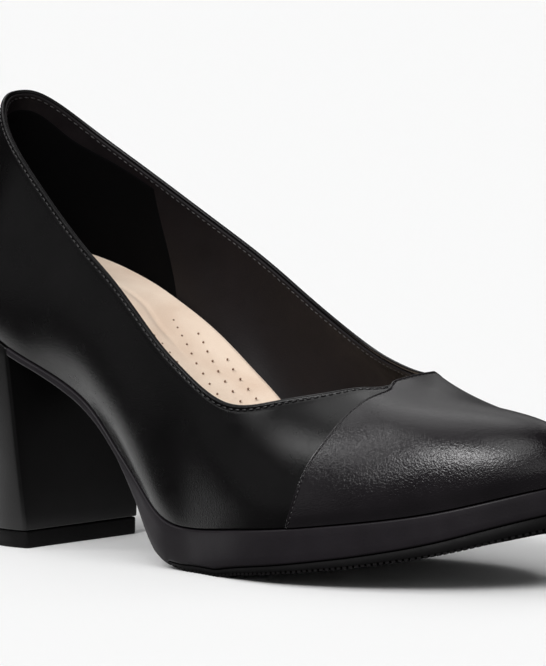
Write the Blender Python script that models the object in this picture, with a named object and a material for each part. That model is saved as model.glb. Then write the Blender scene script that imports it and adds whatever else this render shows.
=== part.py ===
"""A block heel pump for the right foot, with a low platform under the forefoot.

Metres, +Z up. The toe points along +X, the outer side of the foot faces -Y and the
floor is z = 0. Every piece follows one closed line, the outline, where the upper meets
the sole. A place on it is u, from 0 at the back of the heel along the outer side to the
tip and back along the inner side to 1. A height on the upper is v, from 0 on the
outline to 1 on the topline.
"""

import bpy
import numpy as np

# Overall sizes.
LENGTH = 0.236
WIDTH = 0.080
HEEL_HEIGHT = 0.0765
UPPER_HEIGHT = 0.062
PLATFORM = 0.0133

# Thicknesses and fits.
WALL = 0.0020
CAP = 0.0012
BED = 0.0176
TREAD = 0.0030
LIFT = 0.0052
LIP = 0.0005
CHAMFER = 0.0006
INSET = 0.00025
GAP = 0.0003
BED_FIT = 0.00035

# The heel: its front face at the top, how far that face leans forward, how much
# narrower the heel is at the floor there, and the hollow of its back.
BREAST = 0.0315
BREAST_LEAN = 0.0022
HEEL_TAPER_SHARE = 0.185
HEEL_HOLLOW = 0.0012
TREAD_START = 0.1035

# How many rungs cross the sole, how each is divided, and the rows up the upper.
RUNGS = 42
END_STEPS = 1.5
ACROSS = (0.0, 0.08, 0.27, 0.5, 0.73, 0.92, 1.0)
OUTER_ROWS = (0.0, 0.05, 0.11, 0.18, 0.26, 0.34, 0.42, 0.5, 0.58, 0.66, 0.74, 0.82, 0.91, 1.0)
INNER_ROWS = (1.0, 0.88, 0.76, 0.64, 0.52, 0.4, 0.3, 0.2, 0.1, 0.0)
CAP_ROWS = 12

# Sections round the shoe. The foot point is where the upper meets the sole, and the
# top point is on the topline. x is a share of LENGTH and y of WIDTH. foot z is a share
# of the climb from PLATFORM to HEEL_HEIGHT, and top z is over the foot point, a share
# of UPPER_HEIGHT. The wall leaves the foot point leaning out by lean degrees, and
# arrives at the top point leaning in by fall degrees. rise and reach are the lengths of
# those two handles, as shares of UPPER_HEIGHT.
STATIONS = (
    # name, foot x, foot y, foot z, top x, top y, top z, lean, rise, fall, reach
    ("back", 0.013, 0.000, 1.000, 0.032, 0.000, 0.999, 22, 0.323, 16, 0.355),
    ("back outer", 0.030, -0.182, 0.975, 0.039, -0.082, 1.009, 21, 0.323, 15, 0.355),
    ("heel outer", 0.061, -0.295, 0.917, 0.058, -0.158, 1.016, 20, 0.323, 13, 0.339),
    ("seat outer", 0.118, -0.359, 0.808, 0.100, -0.242, 1.006, 17, 0.323, 10, 0.323),
    ("breast outer", 0.190, -0.356, 0.698, 0.176, -0.306, 0.897, 17, 0.323, 8, 0.290),
    ("waist outer", 0.279, -0.356, 0.542, 0.278, -0.362, 0.775, 22, 0.323, 8, 0.258),
    ("shank outer", 0.326, -0.358, 0.372, 0.335, -0.387, 0.810, 26, 0.323, 6, 0.274),
    ("arch outer", 0.372, -0.369, 0.200, 0.389, -0.409, 0.830, 30, 0.323, 5, 0.290),
    ("hollow outer", 0.422, -0.396, 0.048, 0.438, -0.424, 0.836, 24, 0.290, 6, 0.258),
    ("tread outer", 0.475, -0.407, 0.001, 0.482, -0.427, 0.767, 15, 0.258, 8, 0.242),
    ("joint outer", 0.568, -0.461, 0.026, 0.553, -0.411, 0.602, 8, 0.210, 20, 0.193),
    ("ball outer", 0.657, -0.492, 0.058, 0.614, -0.334, 0.587, 6, 0.225, 38, 0.192),
    ("vamp outer", 0.763, -0.450, 0.106, 0.663, -0.210, 0.577, 6, 0.291, 60.5, 0.255),
    ("toe outer", 0.877, -0.322, 0.173, 0.695, -0.112, 0.532, 6, 0.358, 72.5, 0.353),
    ("corner outer", 0.958, -0.150, 0.255, 0.714, -0.051, 0.447, 6, 0.412, 75.5, 0.461),
    ("tip", 0.989, 0.038, 0.293, 0.720, 0.063, 0.437, 6, 0.434, 67, 0.527),
    ("corner inner", 0.959, 0.200, 0.267, 0.714, 0.183, 0.470, 6, 0.386, 51, 0.476),
    ("toe inner", 0.885, 0.348, 0.207, 0.693, 0.248, 0.522, 6, 0.318, 49, 0.374),
    ("vamp inner", 0.804, 0.441, 0.158, 0.655, 0.290, 0.574, 6, 0.276, 46.5, 0.269),
    ("ball inner", 0.712, 0.483, 0.095, 0.602, 0.335, 0.668, 7, 0.255, 45, 0.227),
    ("joint inner", 0.610, 0.454, 0.053, 0.534, 0.387, 0.780, 11, 0.259, 25.5, 0.224),
    ("tread inner", 0.500, 0.356, 0.034, 0.440, 0.399, 0.979, 22, 0.291, 8.5, 0.257),
    ("hollow inner", 0.445, 0.300, 0.086, 0.390, 0.394, 1.041, 31, 0.323, 7, 0.274),
    ("arch inner", 0.390, 0.256, 0.217, 0.339, 0.382, 1.024, 34, 0.355, 6, 0.290),
    ("shank inner", 0.339, 0.252, 0.391, 0.290, 0.364, 0.953, 31, 0.355, 7, 0.274),
    ("waist inner", 0.288, 0.266, 0.541, 0.241, 0.341, 0.909, 28, 0.355, 8, 0.274),
    ("breast inner", 0.199, 0.316, 0.699, 0.161, 0.296, 0.931, 20, 0.323, 9, 0.274),
    ("seat inner", 0.119, 0.345, 0.821, 0.097, 0.239, 0.967, 17, 0.323, 10, 0.323),
    ("heel inner", 0.061, 0.285, 0.926, 0.060, 0.159, 0.991, 20, 0.323, 13, 0.339),
    ("back inner", 0.030, 0.177, 0.980, 0.040, 0.084, 1.006, 21, 0.323, 15, 0.355),
)

# The sole under the outline: x as a share of LENGTH, its depth as a share of PLATFORM
# and the thickness of the tread on its bottom as a share of TREAD.
SOLE = (
    # x, depth, tread
    (0.130, 0.21, 0.27),
    (0.180, 0.20, 0.27),
    (0.233, 0.23, 0.27),
    (0.280, 0.25, 0.27),
    (0.310, 0.22, 0.27),
    (0.333, 0.23, 0.27),
    (0.350, 0.35, 0.27),
    (0.364, 0.47, 0.27),
    (0.376, 0.58, 0.27),
    (0.388, 0.74, 0.27),
    (0.400, 0.87, 0.27),
    (0.413, 0.95, 0.27),
    (0.430, 0.97, 0.27),
    (0.455, 0.985, 0.50),
    (0.476, 1.010, 0.67),
    (0.500, 1.040, 0.67),
    (0.536, 1.072, 0.67),
    (0.560, 1.050, 0.72),
    (0.590, 1.035, 0.77),
    (0.680, 1.020, 0.87),
    (0.770, 1.015, 1.03),
    (0.840, 0.985, 1.15),
    (0.930, 0.975, 1.45),
    (1.000, 0.965, 1.53),
)

# The top of the footbed: x as a share of LENGTH, the height of its middle over the
# inner foot line, and how much higher its outer and inner edges are, as shares of BED.
FOOTBED = (
    # x, middle, outer edge, inner edge
    (0.000, 0.65, 0.12, 0.12),
    (0.064, 0.76, 0.11, 0.12),
    (0.115, 0.88, 0.10, 0.11),
    (0.175, 1.00, 0.07, 0.07),
    (0.235, 0.99, 0.06, 0.06),
    (0.300, 0.95, 0.06, 0.09),
    (0.345, 0.95, 0.05, 0.16),
    (0.390, 0.99, 0.05, 0.21),
    (0.425, 0.88, 0.05, 0.20),
    (0.466, 0.62, 0.04, 0.11),
    (0.500, 0.43, 0.03, 0.05),
    (0.535, 0.33, 0.02, 0.02),
    (0.590, 0.27, 0.00, 0.00),
    (1.000, 0.27, 0.00, 0.00),
)

# The back edge of the toe cap: where the section stands on the outer and on the inner
# side of the outline, x as a share of LENGTH, and how high up the wall the edge crosses it.
SEAM = (
    # x outer, x inner, v
    (0.680, 0.680, 0.00),
    (0.686, 0.686, 0.04),
    (0.692, 0.692, 0.11),
    (0.700, 0.700, 0.20),
    (0.711, 0.711, 0.32),
    (0.728, 0.725, 0.44),
    (0.750, 0.742, 0.54),
    (0.778, 0.768, 0.65),
    (0.806, 0.794, 0.73),
    (0.845, 0.819, 0.79),
    (0.906, 0.853, 0.86),
    (0.947, 0.886, 0.93),
    (0.967, 0.928, 1.00),
    (1.000, 1.000, 1.00),
)
SEAM_LINES = 5

# Shares of the wall's height: where the cap starts, its least height and the part near
# its foot that is drawn thin. Shares of LENGTH: where the sole turns level across, and
# where it stops.
CAP_START_SHARE = 0.003
CAP_LEAST_SHARE = 0.03
CAP_FOOT_SHARE = 0.08
LEVEL_STARTS = (0.36, 0.45)
LEVEL_STOPS = (0.54, 0.66)


def smooth(start, stop, value):
    """0 before start, 1 past stop, with a soft ramp between them."""
    t = np.clip((np.asarray(value) - start) / (stop - start), 0.0, 1.0)
    return t * t * (3.0 - 2.0 * t)


def scaled_stations():
    """The rows of STATIONS as real lengths and angles."""
    rows = np.array([row[1:] for row in STATIONS], float)
    climb = HEEL_HEIGHT - PLATFORM
    rows *= (LENGTH, WIDTH, climb, LENGTH, WIDTH, UPPER_HEIGHT,
             1.0, UPPER_HEIGHT, 1.0, UPPER_HEIGHT)
    rows[:, 2] += PLATFORM
    rows[:, 5] += rows[:, 2]
    rows[:, [6, 8]] = np.radians(rows[:, [6, 8]])
    return rows


def closed_spline(rows):
    """The places of the rows on the outline, and their second derivatives there."""
    loop = np.vstack([rows, rows[:1]])
    steps = np.sqrt(np.linalg.norm(np.diff(loop[:, :2], axis=0), axis=1))
    knots = np.concatenate([[0.0], np.cumsum(steps)]) / steps.sum()
    count = len(rows)
    width = np.diff(knots)
    left = np.zeros((count, count))
    right = np.zeros((count, count))
    for i in range(count):
        before, after = (i - 1) % count, (i + 1) % count
        left[i, before] += width[before]
        left[i, i] += 2.0 * (width[before] + width[i])
        left[i, after] += width[i]
        right[i, before] += 6.0 / width[before]
        right[i, i] -= 6.0 / width[before] + 6.0 / width[i]
        right[i, after] += 6.0 / width[i]
    return knots, np.linalg.solve(left, right) @ rows


ROWS = scaled_stations()
KNOTS, BENDS = closed_spline(ROWS)


def station(u):
    """The section at the places u, in the columns of STATIONS."""
    u = np.mod(u, 1.0)
    i = np.clip(np.searchsorted(KNOTS, u, side="right") - 1, 0, len(ROWS) - 1)
    j = (i + 1) % len(ROWS)
    width = (KNOTS[i + 1] - KNOTS[i])[..., None]
    a = (KNOTS[i + 1] - u)[..., None] / width
    b = 1.0 - a
    bend = (a ** 3 - a) * BENDS[i] + (b ** 3 - b) * BENDS[j]
    return a * ROWS[i] + b * ROWS[j] + bend * width ** 2 / 6.0


def sideways(u, column):
    """Level outward direction of the line whose x and y are in the given columns."""
    step = 1e-4
    along = (station(u + step) - station(u - step))[..., column:column + 2]
    out = np.stack([along[..., 1], -along[..., 0], 0.0 * along[..., 0]], -1)
    return out / np.linalg.norm(out, axis=-1, keepdims=True)


def surface(u, v):
    """Points on the outer face of the upper."""
    row = station(u)
    foot, top = row[..., 0:3], row[..., 3:6]
    up = np.array((0.0, 0.0, 1.0))
    lean, rise, fall, reach = (row[..., c:c + 1] for c in (6, 7, 8, 9))
    low = foot + (sideways(u, 0) * np.sin(lean) + up * np.cos(lean)) * rise
    high = top + (sideways(u, 3) * np.sin(fall) - up * np.cos(fall)) * reach
    v = np.asarray(v)[..., None]
    w = 1.0 - v
    return w ** 3 * foot + 3 * w * w * v * low + 3 * w * v * v * high + v ** 3 * top


def shell(u, v, out):
    """Points off the outer face of the upper, out from it, and level at its foot."""
    u, v = np.broadcast_arrays(np.asarray(u, float), np.asarray(v, float))
    step = 1e-4
    along = surface(u + step, v) - surface(u - step, v)
    rise = surface(u, np.minimum(v + step, 1.0)) - surface(u, np.maximum(v - step, 0.0))
    normal = np.cross(along, rise)
    normal /= np.linalg.norm(normal, axis=-1, keepdims=True)
    share = smooth(0.0, 0.1, v)[..., None]
    normal = share * normal + (1.0 - share) * sideways(u, 0)
    normal /= np.linalg.norm(normal, axis=-1, keepdims=True)
    return surface(u, v) + normal * np.asarray(out)[..., None]


DENSE = np.linspace(0.0, 1.0, 4001)
OUTLINE = station(DENSE)[:, :3]
OUTLINE[-1] = OUTLINE[0]
TIP = int(np.argmax(OUTLINE[:, 0]))


def places(x):
    """The places on the outer and the inner side of the outline at the length x."""
    outer = np.interp(x, OUTLINE[:TIP + 1, 0], DENSE[:TIP + 1])
    inner = np.interp(-x, -OUTLINE[TIP:, 0], DENSE[TIP:])
    return outer, inner


def outer_height(x):
    """Height of the outline on its outer side."""
    return np.interp(x, OUTLINE[:TIP + 1, 0], OUTLINE[:TIP + 1, 2])


def inner_height(x):
    """Height of the outline on its inner side."""
    return np.interp(-x, -OUTLINE[TIP:, 0], OUTLINE[TIP:, 2])


def table(rows, column, x):
    """A column of a table whose first column is a share of LENGTH."""
    values = np.array(rows)
    return np.interp(x / LENGTH, values[:, 0], values[:, column])


def rung_lengths():
    """Where the rungs cross the sole, evenly spaced along the outer side."""
    side = OUTLINE[:TIP + 1]
    walk = np.concatenate([[0.0], np.cumsum(np.linalg.norm(np.diff(side[:, :2], axis=0), axis=1))])
    steps = (np.arange(RUNGS) + END_STEPS) / (RUNGS - 1 + 2.0 * END_STEPS)
    return np.interp(steps * walk[-1], walk, side[:, 0])


LENGTHS = rung_lengths()


def straight(x):
    """A rung straight across the sole: the places of its two ends, and that it is not round."""
    return np.array(places(x)), False


def back_end():
    """The first rung, bent round the back of the outline."""
    outer, inner = places(LENGTHS[0])
    return np.linspace(outer, inner - 1.0, len(ACROSS)), True


def toe_end():
    """The last rung, bent round the tip of the outline."""
    outer, inner = places(LENGTHS[-1])
    return np.linspace(outer, inner, len(ACROSS)), True


def ladder(start=None, stop=None):
    """Rungs from one length to another, with the rounded ends where no length is given."""
    first = [back_end()] if start is None else [straight(start)]
    last = [toe_end()] if stop is None else [straight(stop)]
    spare = 0.5 * (LENGTHS[1] - LENGTHS[0])
    low = LENGTHS[0] if start is None else start + spare
    high = LENGTHS[-1] if stop is None else stop - spare
    inside = [x for x in LENGTHS if low < x < high]
    return first + [straight(x) for x in inside] + last


def layer(rungs, edge):
    """A grid of points, rung by rung, whose border is edge(u)."""
    shares = np.array(ACROSS)[:, None]
    rise = smooth(ACROSS[1], ACROSS[-2], ACROSS)
    rows = []
    for ends, is_round in rungs:
        if is_round:
            rows.append(edge(ends))
            continue
        outer, inner = edge(ends)
        row = outer + (inner - outer) * shares
        row[:, 2] = outer[2] + (inner[2] - outer[2]) * rise
        rows.append(row)
    return np.array(rows)


def material(name, color, roughness):
    """A plain material with one colour."""
    made = bpy.data.materials.new(name)
    made.use_nodes = True
    shader = made.node_tree.nodes["Principled BSDF"]
    shader.inputs["Base Color"].default_value = (*color, 1.0)
    shader.inputs["Roughness"].default_value = roughness
    shader.inputs["Metallic"].default_value = 0.0
    made.diffuse_color = (*color, 1.0)
    return made


def solid(name, points, faces, finish):
    """A named object from points and four-sided faces, its faces turned outward."""
    mesh = bpy.data.meshes.new(name)
    mesh.from_pydata(points.tolist(), [], faces)
    mesh.update()
    corners = points[np.array(faces)]
    crossed = np.cross(corners[:, 2] - corners[:, 0], corners[:, 3] - corners[:, 1])
    if np.einsum("ij,ij->", corners.mean(axis=1), crossed) < 0.0:
        mesh.flip_normals()
    mesh.shade_smooth()
    mesh.set_sharp_from_angle(angle=np.radians(40.0))
    mesh.materials.append(finish)
    made = bpy.data.objects.new(name, mesh)
    bpy.context.collection.objects.link(made)
    return made


def slab(name, layers, finish):
    """A solid between its first and last layers, walled through the borders of them all."""
    rows, cols = layers[0].shape[:2]
    grid = np.arange(rows * cols).reshape(rows, cols)
    border = np.concatenate([grid[:, 0], grid[-1, 1:-1], grid[::-1, -1], grid[0, -2:0:-1]])
    points = [layers[0].reshape(-1, 3)]
    loops = [border]
    for middle in layers[1:-1]:
        loops.append(sum(map(len, points)) + np.arange(len(border)))
        points.append(middle.reshape(-1, 3)[border])
    top = sum(map(len, points))
    loops.append(top + border)
    points.append(layers[-1].reshape(-1, 3))
    faces = []
    for low, high in zip(loops[:-1], loops[1:]):
        walls = zip(low, np.roll(low, -1), np.roll(high, -1), high)
        faces += [tuple(map(int, wall)) for wall in walls]
    for a in range(rows - 1):
        for b in range(cols - 1):
            around = (grid[a, b], grid[a, b + 1], grid[a + 1, b + 1], grid[a + 1, b])
            faces.append(tuple(int(n) for n in around))
            faces.append(tuple(int(top + n) for n in reversed(around)))
    return solid(name, np.vstack(points), faces, finish)


def section_lines():
    """Places of the upper's sections: the ends of all rungs, and more at the cap's edge."""
    rungs = [back_end(), toe_end()] + [straight(x) for x in LENGTHS]
    seam = [straight(row[0] * LENGTH) for row in SEAM[:SEAM_LINES]]
    every = np.mod(np.concatenate([ends for ends, is_round in rungs + seam]), 1.0)
    return np.unique(np.round(every, 6))


def make_upper(finish):
    """The hollow upper, one wall round the foot, open at its topline and underneath."""
    u = section_lines()[:, None]
    outer = shell(u, np.array(OUTER_ROWS), 0.0)
    inner = shell(u, np.array(INNER_ROWS), -WALL)
    rim = shell(u, np.array([1.0]), -WALL / 2.0)
    rim[..., 2] += WALL / 4.0
    profile = np.concatenate([outer, rim, inner], axis=1)
    rows, cols = profile.shape[:2]
    grid = np.arange(rows * cols).reshape(rows, cols)
    turned, raised = np.roll(grid, -1, axis=0), np.roll(grid, -1, axis=1)
    both = np.roll(turned, -1, axis=1)
    quads = np.stack([grid, turned, both, raised], -1).reshape(-1, 4)
    return solid("upper", profile.reshape(-1, 3), [tuple(map(int, q)) for q in quads], finish)


def make_toe_cap(finish):
    """The leather laid over the front of the upper, cut off along its back edge."""
    lines = section_lines()
    low, high = places(SEAM[0][0] * LENGTH)
    u = lines[(lines > low - 1e-6) & (lines < high + 1e-6)]
    x = station(u)[:, 0] / LENGTH
    outer_x, inner_x, height = np.array(SEAM).T
    is_inner = np.mod(u, 1.0) > DENSE[TIP]
    edge = np.where(is_inner, np.interp(x, inner_x, height), np.interp(x, outer_x, height))
    edge = np.maximum(edge, CAP_START_SHARE + CAP_LEAST_SHARE)
    v = CAP_START_SHARE + (edge - CAP_START_SHARE)[:, None] * np.linspace(0.0, 1.0, CAP_ROWS)
    thick = CAP * (0.5 + 0.5 * smooth(0.0, CAP_FOOT_SHARE, v))
    inside = shell(u[:, None], v, GAP)
    outside = shell(u[:, None], v, GAP + thick)
    return slab("toe_cap", [inside, outside], finish)


def bed_height(x, share):
    """Height of the footbed's top, share running from its outer to its inner edge."""
    middle = inner_height(x) + BED * table(FOOTBED, 1, x)
    edge = np.where(share < 0.5, table(FOOTBED, 2, x), table(FOOTBED, 3, x))
    return middle + BED * edge * np.abs(2.0 * share - 1.0) ** 2.5


def make_footbed(finish):
    """The padded footbed, which fills the bottom of the upper inside its wall."""
    inset = -(WALL + BED_FIT)
    climb = np.linspace(0.0, 0.8, 81)
    rungs = ladder()

    def side(u, share):
        """The footbed's border at a share of its height up the wall."""
        wall = shell(u[:, None], climb, inset)
        inner_side = np.where(np.mod(u, 1.0) > DENSE[TIP], 1.0, 0.0)
        goal = bed_height(station(u)[:, 0], inner_side)
        reach = [np.interp(z, row[:, 2], climb) for z, row in zip(goal, wall)]
        return shell(u, share * np.array(reach), inset)

    walls = [layer(rungs, lambda u, share=share: side(u, share)) for share in (0.0, 0.33, 0.66, 1.0)]
    top = walls[-1]
    for row, (ends, is_round) in zip(top, rungs):
        if not is_round:
            row[1:-1, 2] = bed_height(row[1:-1, 0], np.array(ACROSS)[1:-1])
    return slab("footbed", walls, finish)


def rim(u, out, drop):
    """The outline moved out level by out, and down by drop."""
    return station(u)[:, :3] + sideways(u, 0) * out - np.array((0.0, 0.0, drop))


def sole_bottom(u):
    """Height of the underside of the sole: it follows each side of the outline, but is
    level across where the ball of the foot rests flat on the floor."""
    foot = station(u)[:, :3]
    x = foot[:, 0]
    level = smooth(*LEVEL_STARTS, x / LENGTH) - smooth(*LEVEL_STOPS, x / LENGTH)
    height = (1.0 - level) * foot[:, 2] + level * outer_height(x)
    return np.maximum(height - PLATFORM * table(SOLE, 1, x), 0.0)


def tread_depth(u):
    """Thickness of the tread."""
    return TREAD * table(SOLE, 2, station(u)[:, 0])


def make_platform(finish):
    """The sole from the heel's front face to the toe, thick under the forefoot."""
    start = BREAST + GAP
    back = ladder(start, TREAD_START - GAP)
    front = ladder(TREAD_START)

    def low(u, out, lift):
        """The lower border, under the waist or over the tread."""
        points = rim(u, out, 0.0)
        x = station(u)[:, 0]
        over = np.where(x > TREAD_START - 0.5 * GAP, tread_depth(u) + GAP, 0.0)
        points[:, 2] = sole_bottom(u) + over + lift
        return points

    rungs = back + front
    bottom = layer(rungs, lambda u: low(u, LIP - CHAMFER, 0.0))
    corner = layer(rungs, lambda u: low(u, LIP, CHAMFER))
    top = layer(rungs, lambda u: rim(u, LIP, GAP))
    return slab("platform", [bottom, corner, top], finish)


def make_outsole(finish):
    """The rubber tread under the forefoot."""
    rungs = ladder(TREAD_START + GAP)

    def level(u, out, share):
        """The tread's border at a share of its thickness."""
        points = rim(u, out, 0.0)
        points[:, 2] = sole_bottom(u) + share * tread_depth(u)
        return points

    bottom = layer(rungs, lambda u: level(u, LIP - 2.0 * CHAMFER, 0.0))
    top = layer(rungs, lambda u: level(u, LIP - CHAMFER, 1.0))
    return slab("outsole", [bottom, top], finish)


def heel_layers():
    """The heel's top under the upper, and its outline on the floor, rung for rung."""
    top = layer(ladder(None, BREAST), lambda u: rim(u, LIP, GAP))
    back = OUTLINE[0, 0]
    share = (top[..., 0] - back) / (BREAST - back)
    floor = top.copy()
    floor[..., 0] += BREAST_LEAN * share
    floor[..., 1] *= 1.0 - HEEL_TAPER_SHARE * share
    floor[..., 2] = 0.0
    return top, floor, share


def heel_level(height):
    """The heel's section: level at a height near the floor, or bent like its top above."""
    top, floor, share = heel_layers()
    up = height / top[..., 2]
    section = floor + (top - floor) * up[..., None]
    section[..., 0] += HEEL_HOLLOW * np.sin(np.pi * up) * (1.0 - share)
    return section


def make_heel(finish):
    """The block heel, from its top lift to the upper."""
    top = heel_layers()[0]
    start = LIFT + GAP
    levels = [heel_level(start + (top[..., 2] - start) * share) for share in (0.0, 0.2, 0.4, 0.6, 0.8)]
    return slab("heel", levels + [top], finish)


def make_top_lift(finish):
    """The rubber top lift under the heel."""
    levels = []
    for height in (0.0, LIFT):
        section = heel_level(np.full(heel_layers()[0].shape[:2], height))
        middle = section.reshape(-1, 3).mean(axis=0)
        plan = section[..., :2] - middle[:2]
        section[..., :2] = middle[:2] + plan * (1.0 - INSET / np.abs(plan).max(axis=(0, 1)))
        levels.append(section)
    return slab("top_lift", levels, finish)


for old in list(bpy.data.objects):
    bpy.data.objects.remove(old, do_unlink=True)

leather = material("black_leather", (0.012, 0.011, 0.012), 0.42)
cover = material("black_heel_cover", (0.012, 0.011, 0.012), 0.40)
polymer = material("black_platform", (0.013, 0.012, 0.013), 0.45)
rubber = material("black_rubber", (0.010, 0.010, 0.011), 0.70)
suede = material("tan_suede", (0.62, 0.45, 0.33), 0.90)

pieces = [
    make_upper(leather),
    make_toe_cap(leather),
    make_footbed(suede),
    make_platform(polymer),
    make_outsole(rubber),
    make_heel(cover),
    make_top_lift(rubber),
]

# The shoe stands centred on the origin.
corners = np.vstack([np.array([v.co for v in piece.data.vertices]) for piece in pieces])
low, high = corners.min(axis=0), corners.max(axis=0)
for piece in pieces:
    piece.location = (-(low[0] + high[0]) / 2.0, -(low[1] + high[1]) / 2.0, -low[2])
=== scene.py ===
import bpy
import numpy as np
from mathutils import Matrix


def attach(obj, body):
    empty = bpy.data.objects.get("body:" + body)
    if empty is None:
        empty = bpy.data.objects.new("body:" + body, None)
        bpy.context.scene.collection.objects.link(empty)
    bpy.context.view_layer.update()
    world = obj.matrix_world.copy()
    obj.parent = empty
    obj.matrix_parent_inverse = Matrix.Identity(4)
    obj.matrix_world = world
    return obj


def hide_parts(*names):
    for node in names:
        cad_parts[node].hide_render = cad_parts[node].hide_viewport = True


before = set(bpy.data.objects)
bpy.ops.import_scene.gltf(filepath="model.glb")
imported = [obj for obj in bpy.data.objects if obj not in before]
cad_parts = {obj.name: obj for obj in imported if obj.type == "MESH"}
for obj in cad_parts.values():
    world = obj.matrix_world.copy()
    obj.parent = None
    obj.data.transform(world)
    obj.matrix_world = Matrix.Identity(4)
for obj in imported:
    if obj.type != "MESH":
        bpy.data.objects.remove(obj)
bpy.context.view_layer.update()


# The last. The upper is pulled over a form, and thirty sections round the feather line,
# where upper and sole meet, describe it. Each is a curve from the feather line up the
# wall to the topline, and u runs round the shoe from the back along its outer side.

MM = 0.001
# Lengths count from the back of the shoe. CENTRE moves them to the middle of the frame's box.
CENTRE = np.array((-117.1137, -0.0024, 0.0)) * MM

SECTIONS = np.array((
    # foot x, y, z and topline x, y, z in mm, then how far the curve leans out at the foot and
    # in at the topline, each in degrees and followed by the length of that pull in mm
    (3.07, 0.00, 76.50, 7.55, 0.00, 138.44, 22, 20.03, 16, 22.01),
    (7.08, -14.56, 74.92, 9.20, -6.56, 137.48, 21, 20.03, 15, 22.01),
    (14.40, -23.60, 71.25, 13.69, -12.64, 134.25, 20, 20.03, 13, 21.02),
    (27.85, -28.72, 64.37, 23.60, -19.36, 126.74, 17, 20.03, 10, 20.03),
    (44.84, -28.48, 57.41, 41.54, -24.48, 113.03, 17, 20.03, 8, 17.98),
    (65.84, -28.48, 47.55, 65.61, -28.96, 95.60, 22, 20.03, 8, 16.00),
    (76.94, -28.64, 36.81, 79.06, -30.96, 87.03, 26, 20.03, 6, 16.99),
    (87.79, -29.52, 25.94, 91.80, -32.72, 77.40, 30, 20.03, 5, 17.98),
    (99.59, -31.68, 16.33, 103.37, -33.92, 68.17, 24, 17.98, 6, 16.00),
    (112.10, -32.56, 13.36, 113.75, -34.16, 60.92, 15, 16.00, 8, 15.00),
    (134.05, -36.88, 14.94, 130.51, -32.88, 52.27, 8, 13.02, 20, 11.97),
    (155.05, -39.36, 16.97, 144.90, -26.72, 53.36, 6, 13.95, 38, 11.90),
    (180.07, -36.00, 20.00, 156.47, -16.80, 55.77, 6, 18.04, 60.5, 15.81),
    (206.97, -25.76, 24.23, 164.02, -8.96, 57.22, 6, 22.20, 72.5, 21.89),
    (226.09, -12.00, 29.42, 168.50, -4.08, 57.13, 6, 25.54, 75.5, 28.58),
    (233.40, 3.04, 31.82, 169.92, 5.04, 58.91, 6, 26.91, 67, 32.67),
    (226.32, 16.00, 30.17, 168.50, 14.64, 59.31, 6, 23.93, 51, 29.51),
    (208.86, 27.84, 26.38, 163.55, 19.84, 58.74, 6, 19.72, 49, 23.19),
    (189.74, 35.28, 23.29, 154.58, 23.20, 58.88, 6, 17.11, 46.5, 16.68),
    (168.03, 38.64, 19.30, 142.07, 26.80, 60.72, 7, 15.81, 45, 14.07),
    (143.96, 36.32, 16.65, 126.02, 30.96, 65.01, 11, 16.06, 25.5, 13.89),
    (118.00, 28.48, 15.45, 103.84, 31.92, 76.15, 22, 18.04, 8.5, 15.93),
    (105.02, 24.00, 18.74, 92.04, 31.52, 83.28, 31, 20.03, 7, 16.99),
    (92.04, 20.48, 27.01, 80.00, 30.56, 90.50, 34, 22.01, 6, 17.98),
    (80.00, 20.16, 38.01, 68.44, 29.12, 97.10, 31, 22.01, 7, 16.99),
    (67.97, 21.28, 47.49, 56.88, 27.28, 103.85, 28, 22.01, 8, 16.99),
    (46.96, 25.28, 57.48, 38.00, 23.68, 115.20, 20, 20.03, 9, 16.99),
    (28.08, 27.60, 65.19, 22.89, 19.12, 125.14, 17, 20.03, 10, 20.03),
    (14.40, 22.80, 71.82, 14.16, 12.72, 133.27, 20, 20.03, 13, 21.02),
    (7.08, 14.16, 75.24, 9.44, 6.72, 137.61, 21, 20.03, 15, 22.01),
))
SECTIONS[:, [0, 1, 2, 3, 4, 5, 7, 9]] *= MM
SECTIONS[:, [6, 8]] = np.radians(SECTIONS[:, [6, 8]])


def ring_spline(rows):
    """Where each section stands round the feather line, and how the curve bends there."""
    loop = np.vstack([rows, rows[:1]])
    steps = np.sqrt(np.linalg.norm(np.diff(loop[:, :2], axis=0), axis=1))
    knots = np.concatenate([[0.0], np.cumsum(steps)]) / steps.sum()
    count = len(rows)
    width = np.diff(knots)
    left = np.zeros((count, count))
    right = np.zeros((count, count))
    for i in range(count):
        before, after = (i - 1) % count, (i + 1) % count
        left[i, before] += width[before]
        left[i, i] += 2.0 * (width[before] + width[i])
        left[i, after] += width[i]
        right[i, before] += 6.0 / width[before]
        right[i, i] -= 6.0 / width[before] + 6.0 / width[i]
        right[i, after] += 6.0 / width[i]
    return knots, np.linalg.solve(left, right) @ rows


KNOTS, BENDS = ring_spline(SECTIONS)


def between(u):
    """The section at u on the curve through the sections, in the columns of SECTIONS."""
    u = np.mod(u, 1.0)
    i = np.clip(np.searchsorted(KNOTS, u, side="right") - 1, 0, len(SECTIONS) - 1)
    j = (i + 1) % len(SECTIONS)
    width = (KNOTS[i + 1] - KNOTS[i])[..., None]
    a = (KNOTS[i + 1] - u)[..., None] / width
    b = 1.0 - a
    bend = (a ** 3 - a) * BENDS[i] + (b ** 3 - b) * BENDS[j]
    return a * SECTIONS[i] + b * SECTIONS[j] + bend * width ** 2 / 6.0


def section(u):
    """The section at u. Over the toe all but its foot is a mean of its neighbours, and softer."""
    u = np.asarray(u, float)
    row = between(u)
    mean = np.zeros(row.shape)
    for offset, weight in ((-0.024, 0.1), (-0.012, 0.2), (0.0, 0.4), (0.012, 0.2), (0.024, 0.1)):
        mean += weight * between(u + offset)
    over_toe = np.exp(-((np.mod(u, 1.0) - 0.5) / 0.1) ** 4)[..., None]
    row[..., 3:] += over_toe * (mean - row)[..., 3:]
    return row


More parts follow.
